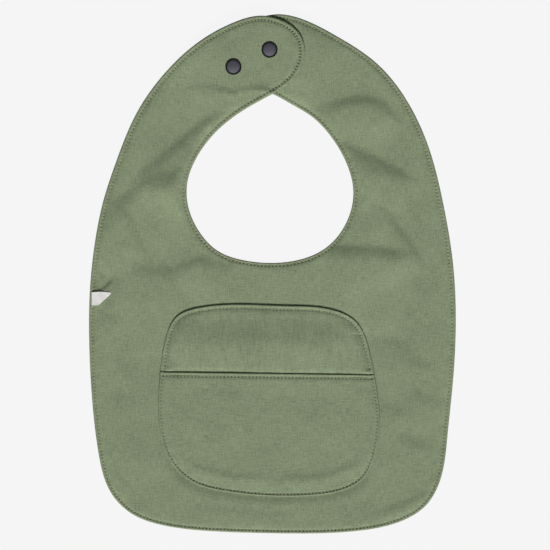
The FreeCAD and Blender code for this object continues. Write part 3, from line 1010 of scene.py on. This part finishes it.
# Heights at shares of the way in to the stitching, or at distances under or over the mouth.
PATCH_ROLL = ([0, 0.06, 0.15, 0.3, 0.5, 0.75, 1.0, 1.3, 1.8, 2.4, 3.0, 5.0],
              [0.1, 0.75, 1.0, 1.12, 1.08, 0.85, 0.55, 0.8, 1.0, 1.0, 0.9, 0.8])
BAG_ROLL = ([0, 0.06, 0.15, 0.3, 0.5, 0.75, 1.0, 1.3, 1.8, 2.4, 3.0, 5.0],
            [0.1, 0.7, 1.0, 1.15, 1.1, 0.85, 0.6, 0.82, 1.02, 1.04, 1.04, 1.0])
HEM_ROLL = ([-0.5, 0, 0.15, 0.4, 0.8, 1.4, 2.1, MOUTH_STITCH, 3.4, 4.4, 6.0, 8.5],
            [-1.5, -1.2, -0.4, -0.02, 0.12, 0.06, -0.14, -0.34, -0.14, 0.05, 0.1, 0.0])
SLOT = ([-1.0, 0.0, 0.6, 1.05, 1.45, 1.9, 3.0], [0.0, 0.0, 0.08, 0.6, 0.8, 0.85, 0.9])
BELLY = ([0, 3, 8, 14, 20, 26, 32, 38, 46], [0, 0, 0.25, 0.6, 0.8, 0.6, 0.1, -0.5, -0.6])


def under_mouth(xy):
    return (xy - MOUTH_LEFT) @ MOUTH_DOWN


def along_mouth(xy):
    return (xy - MOUTH_LEFT) @ MOUTH


def inside_mouth(xy):
    """0 at the ends of the mouth, and 1 away from them."""
    along = along_mouth(xy)
    return between(along, 2.0, 7.0) * (1 - between(along, 148.0, 152.0))


def backing_top(plan):
    """The backing: flat behind the pocket, and sewn down round its edge where it shows."""
    xy, share = plan.xy, plan.share
    above = -under_mouth(xy)
    shown = between(above, -0.5, 1.2)
    roll = np.interp(share, *PATCH_ROLL)
    bump = sum(crease(xy, *c) for c in PATCH_CREASES) * between(plan.d, 2.0, 12.0)
    inner = 1 - (1 - between(plan.d, 1.5, 9.0)) * between(above, 1.5, 5.0)
    slot = (np.interp(above, *SLOT) + np.interp(above, *BELLY)) * inside_mouth(xy) * inner
    h = panel_height(xy) + roll * shown + PATCH * (1 - shown) + slot
    h = h + shown * (bump + 0.6 * pucker(plan.s + 400, plan.d))
    return h - shown * sunk_holes(plan, POCKET)


def bag_height(plan):
    """The upper side of the pocket's front: sewn down at its sides, with a rolled hem at its mouth."""
    xy, share = plan.xy, plan.share
    under = under_mouth(xy)
    roll = np.interp(share, *BAG_ROLL)
    full = 0.35 * between(plan.d, 5.0, 30.0) * between(under, -10, 40)
    hem = np.interp(under, *HEM_ROLL) * (0.15 + 0.85 * inside_mouth(xy))
    gape = 0.35 * between(plan.d, 2.0, 25.0) * (1 - between(under, 0.0, 26.0))
    bump = sum(crease(xy, *c) for c in BAG_CREASES) * between(plan.d, 3.0, 14.0)
    h = panel_height(xy) + PATCH + roll + full + hem + gape + bump
    h = h + 0.7 * pucker(plan.s + 900, plan.d) + 0.5 * mouth_wave(xy)
    return h - sunk_holes(plan, POCKET) * between(under, 0.5, 3.0) - 0.4 * hem_holes(xy)


def mouth_wave(xy):
    """The hem's small unevenness along the mouth."""
    return 0.3 * unevenness(along_mouth(xy), 11.0, 5.2) * bell(under_mouth(xy), 6.0)


def hem_holes(xy):
    return needle_holes(along_mouth(xy), STITCH, under_mouth(xy) - MOUTH_STITCH)


def pocket_half(side):
    """Half of the pocket's front, from its middle to one side seam, and its stretch of the seam."""
    seam_s, outward = (LEFT_S, -1) if side == "left" else (RIGHT_S, 1)
    depth = RING_SHARES[-1]
    reach = along_mouth(POCKET.at(seam_s)) - outward * depth * pocket_inset(seam_s)
    low, high = sorted((reach, HALF))
    top = np.arange(math.ceil(low / HEM_STEP + 0.4), high / HEM_STEP - 0.4) * HEM_STEP
    top = [MOUTH_LEFT + MOUTH * a for a in top[::-1]]
    foot = POCKET.at(FOOT_S) + POCKET.inward(FOOT_S) * depth * pocket_inset(FOOT_S)
    down = HEM_ROWS + list(np.arange(9.4, (foot - MOUTH_MIDDLE) @ MOUTH_DOWN - 1.5, GRID))
    middle = [MOUTH_MIDDLE + MOUTH_DOWN * r for r in down]
    if side == "left":
        span, low, high = (LEFT_S % POCKET.length - POCKET.length, FOOT_S), low + 0.3, high - 0.2
        stretch = (*span, MOUTH, -MOUTH_DOWN, middle[::-1] + [MOUTH_MIDDLE] + top)
    else:
        span, low, high = (FOOT_S, RIGHT_S), low + 0.2, high - 0.3
        stretch = (*span, -MOUTH_DOWN, -MOUTH, top + [MOUTH_MIDDLE] + middle)
    along = np.arange(math.ceil(low / HEM_STEP), math.floor(high / HEM_STEP) + 1) * HEM_STEP
    strip = [MOUTH_LEFT + MOUTH * a + MOUTH_DOWN * r for r in HEM_ROWS for a in along]
    plan = cut_out(POCKET, pocket_inset, [stretch], clear_of_seam(strip, *span))
    below = between(under_mouth(plan.xy), 0.5, 3.0)
    # Painted shade at the seam below the hem and in the hem's needle holes.
    painted_shade = np.clip(seam_painted_shade(plan, POCKET) * below + 0.85 * hem_holes(plan.xy), 0, 1)
    return cloth_object("pocket_front_" + side, plan, bag_height(plan), painted_shade, seed=2.0), span


def clear_of_seam(points, start, end):
    """Those of the points that are well inside the pocket's seam rows."""
    s = np.arange(start, end, 0.5)
    depth = RING_SHARES[-1] * pocket_inset(s) + 0.25
    closest, rel = nearest_on(POCKET.at(s), np.array(points))
    return np.array(points)[np.linalg.norm(rel, axis=1) > depth[closest]]


def pocket_row(height):
    """The height under a row of stitches round the pocket, from the height of its cloth."""
    def found(xy, s, d):
        plan = Plan()
        plan.add(xy, d, s, d / pocket_inset(s))
        return height(plan.close()) + sunk_holes(plan, POCKET)
    return found


def hem_row(xy, s, d):
    """The height under the row of stitches along the mouth, far from the pocket's seam."""
    plan = Plan()
    plan.add(xy, 40.0, 0.0, 20.0)
    return bag_height(plan.close()) + 0.35 * hem_holes(xy)


class MouthRow:
    """The line along the mouth, in the place of a loop."""

    length = STITCH * 60

    def at(self, s):
        return MOUTH_LEFT + np.asarray(s)[:, None] * MOUTH

    def inward(self, s):
        return np.tile(MOUTH_DOWN, (len(s), 1))


def mouth_inset(s):
    return np.full(len(s), MOUTH_STITCH)


def make_pocket():
    plan = cut_out(POCKET, pocket_inset, [(0.0, POCKET.length, None, None, ())], closed=True)
    # Painted shade at the backing's seam where it shows above the mouth.
    painted_shade = seam_painted_shade(plan, POCKET) * between(-under_mouth(plan.xy), 0, 3)
    top = backing_top(plan)
    backing = cloth_object("pocket_backing_cotton", plan, top, painted_shade, thickness=0.4, seed=1.0)
    finish_piece(backing, OUTER, "pocket_backing")
    attach(backing, "bib_body")
    upper = stitches("pocket_backing_stitches", POCKET, pocket_inset, pocket_row(backing_top),
                     [(RIGHT_S + 0.3, LEFT_S % POCKET.length - 0.3)])
    finish_piece(upper, THREAD, "pocket_backing_stitch")
    attach(upper, "bib_body")
    declare(backing)
    # Each half: where its hem's stitches run, and how much of its seam the mouth's ends take up.
    halves = (("left", MOUTH_LEFT, (3.0, HALF), (2.5, 0)), ("right", MOUTH_RIGHT, (HALF, 150.0), (0, 2.5)))
    for side, corner, hem_span, spare in halves:
        bag, span = pocket_half(side)
        row = stitches("pocket_seam_stitches_" + side, POCKET, pocket_inset, pocket_row(bag_height),
                       [(span[0] + spare[0], span[1] - spare[1])])
        hem = stitches("pocket_hem_stitches_" + side, MouthRow(), mouth_inset, hem_row, [hem_span])
        finish_piece(bag, OUTER, "pocket_front")
        finish_piece(row, THREAD, "pocket_seam_stitch")
        finish_piece(hem, THREAD, "pocket_hem_stitch")
        for piece in (bag, row, hem):
            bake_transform(piece)
        declare(bag)


make_pocket()


# ---------------------------------------------------------------- press studs
# The head's outline as (radius, height) points: its rolled rim, and the dome inside it.
HEAD_RIM = [
    (5.4, 0.0), (5.64, 0.1), (5.7, 0.28), (5.64, 0.5), (5.5, 0.66), (5.32, 0.73), (5.14, 0.71),
    (4.96, 0.64), (4.8, 0.58), (4.62, 0.58),
]
DOME_R = 4.5
DOME_STEPS = (1.0, 0.92, 0.82, 0.69, 0.53, 0.36, 0.18, 0.01)
HEAD_T = 1.1                  # from the cloth to the top of a head's CAD solid


def stud_head(node, centre, base, up, body):
    """A pressed metal head: a rolled rim, a groove and a dome, with painted shade darkening the groove and
    rim.
    """
    outline = HEAD_RIM + [(DOME_R * t, 1.0 - 0.38 * t ** 2.2) for t in DOME_STEPS]
    profile = [(r, base + up * z) for r, z in outline]
    # Painted shade and painted dark reflection, on the groove and rim round the dome.
    dark = [0.9 * float(smooth((r - 3.8) / 1.2)) for r, _ in outline]
    head = lathe(node + "_plate", profile, centre, dark, up)
    finish_piece(head, METAL, node)
    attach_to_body(head, body)


for snap, centre in SNAPS.items():
    stud_head("snap_cap_" + snap, centre, height_of("snap_cap_" + snap, 1) - HEAD_T, 1, "tab")
    stud_head("snap_back_cap_" + snap, centre, LOWER_LIFT, -1, "bib_body")
    for part in ("snap_socket_", "snap_stud_"):
        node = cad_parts[part + snap]
        node.data.materials.clear()
        node.data.materials.append(METAL[1])


# ---------------------------------------------------------------- the label
LABEL_LOW = (-128.3, -22.2)      # the label's lower corner at the seam
LABEL_HIGH = (-128.3, -12.8)
LABEL_SHORT = 5.2                # the length of its lower edge
LABEL_LONG = 14.7                # and of its upper edge


def make_label():
    """A ribbon out of the side seam, along the front to a slanted fold, and back over itself."""
    x0, base = LABEL_LOW[0], height_of("size_label", 0)
    seam = SEAM_Z + 0.35
    across = np.linspace(0, 1, 25)
    vertices, flat = [], []
    for v in across:
        y = LABEL_LOW[1] + (LABEL_HIGH[1] - LABEL_LOW[1]) * v
        reach = LABEL_SHORT + (LABEL_LONG - LABEL_SHORT) * min(v / 0.93, 1.0)
        reach -= 0.9 * max(0, v - 0.93) / 0.07
        tilt = 0.3 * (1 - v)
        out = [
            (x0 + 1.2, seam - 0.2), (x0 + 0.45, seam), (x0 + 0.1, seam + 0.25),
            (x0 + 0.15, base - 0.3), (x0 + 0.6, base + 0.02),
        ]
        for t in np.linspace(0.1, 0.95, 13):
            x = x0 + 0.6 + (reach - 0.9) * t
            out.append((x, base + 0.05 + tilt * (1 - (1 - t) ** 2)))
        end_x, end_z = out[-1]
        turn = [(end_x + 0.22, end_z + 0.1), (end_x + 0.3, end_z + 0.27), (end_x + 0.2, end_z + 0.44)]
        back = [(x, z + 0.5) for x, z in out[4:][::-1]]
        last = [
            (x0 - 0.05, base + 0.2), (x0 - 0.15, seam + 0.3), (x0 + 0.1, seam - 0.05),
            (x0 + 0.9, seam - 0.3),
        ]
        path = out + turn + back + last
        run = 0.0
        for i, (x, z) in enumerate(path):
            run += math.dist(path[i - 1], (x, z)) if i else 0.0
            wave = 0.1 * math.sin(3.1 * (x - x0) / 4 + y * 0.55)
            vertices.append((x, y + 0.2 * math.sin(x * 0.45), z + wave * min(1, max(0, x - x0 - 1))))
            flat.append((x + y, (x - y) * 0.5, 3.0))
    faces = []
    rows = len(vertices) // len(across)
    for j in range(len(across) - 1):
        for i in range(rows - 1):
            a = j * rows + i
            faces.append((a, a + rows, a + rows + 1, a + 1))
    piece = shell("size_label_ribbon", vertices, faces, 0.14, [("cut", np.array(flat))])
    finish_piece(piece, RIBBON, "size_label")
    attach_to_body(piece, "label")


make_label()


# ---------------------------------------------------------------- floor, light and camera
PICTURE_WIDTH = 390.5
PICTURE_CENTRE = (1.8, -0.7)
CAMERA_HEIGHT = 3000.0
FLOOR = 20000.0               # half of the floor's side
FLOOR_LIGHT = 0.894           # the floor is plain and pale, whatever falls on it
STUDIO_LIGHT = 0.17
KEY_LIGHT = 4.02
KEY_FROM = Vector((0.03, -0.77, 0.63))


def link_new(name, data):
    made = bpy.data.objects.new(name, data)
    bpy.context.scene.collection.objects.link(made)
    return made


def studio():
    scene = bpy.context.scene
    scene.view_settings.view_transform = "Standard"
    corners = [(-FLOOR, -FLOOR), (FLOOR, -FLOOR), (FLOOR, FLOOR), (-FLOOR, FLOOR)]
    floor = mesh_object("floor", [(x, y, -0.1) for x, y in corners], [(0, 1, 2, 3)])
    n = Nodes("floor_white")
    n.feed(n.shader, {
        "Base Color": (0.02, 0.02, 0.02, 1), "Roughness": 1.0, "Specular IOR Level": 0.0,
        "Emission Color": (1, 1, 1, 1), "Emission Strength": FLOOR_LIGHT,
    })
    floor.data.materials.append(n.material)

    # The studio is brighter on the side that the key light comes from.
    scene.world = bpy.data.worlds.new("studio")
    scene.world.use_nodes = True
    tree = scene.world.node_tree
    place = tree.nodes.new("ShaderNodeTexCoord")
    split = tree.nodes.new("ShaderNodeSeparateXYZ")
    near = tree.nodes.new("ShaderNodeMath")
    near.operation = "MULTIPLY_ADD"
    near.inputs[1].default_value = -STUDIO_LIGHT
    near.inputs[2].default_value = STUDIO_LIGHT
    sky = tree.nodes["Background"]
    sky.inputs["Color"].default_value = (1, 1, 1, 1)
    tree.links.new(place.outputs["Generated"], split.inputs[0])
    tree.links.new(split.outputs[1], near.inputs[0])
    tree.links.new(near.outputs[0], sky.inputs["Strength"])

    key = bpy.data.lights.new("key", "SUN")
    key.energy = KEY_LIGHT
    key.angle = math.radians(16)
    lamp = link_new("key", key)
    lamp.rotation_mode = "QUATERNION"
    lamp.rotation_quaternion = KEY_FROM.to_track_quat("Z", "Y")

    lens = bpy.data.cameras.new("camera")
    scene.camera = link_new("camera", lens)
    scene.camera.location = at_plan(PICTURE_CENTRE, CAMERA_HEIGHT)
    lens.lens = lens.sensor_width * (CAMERA_HEIGHT - SHEET) / PICTURE_WIDTH


studio()
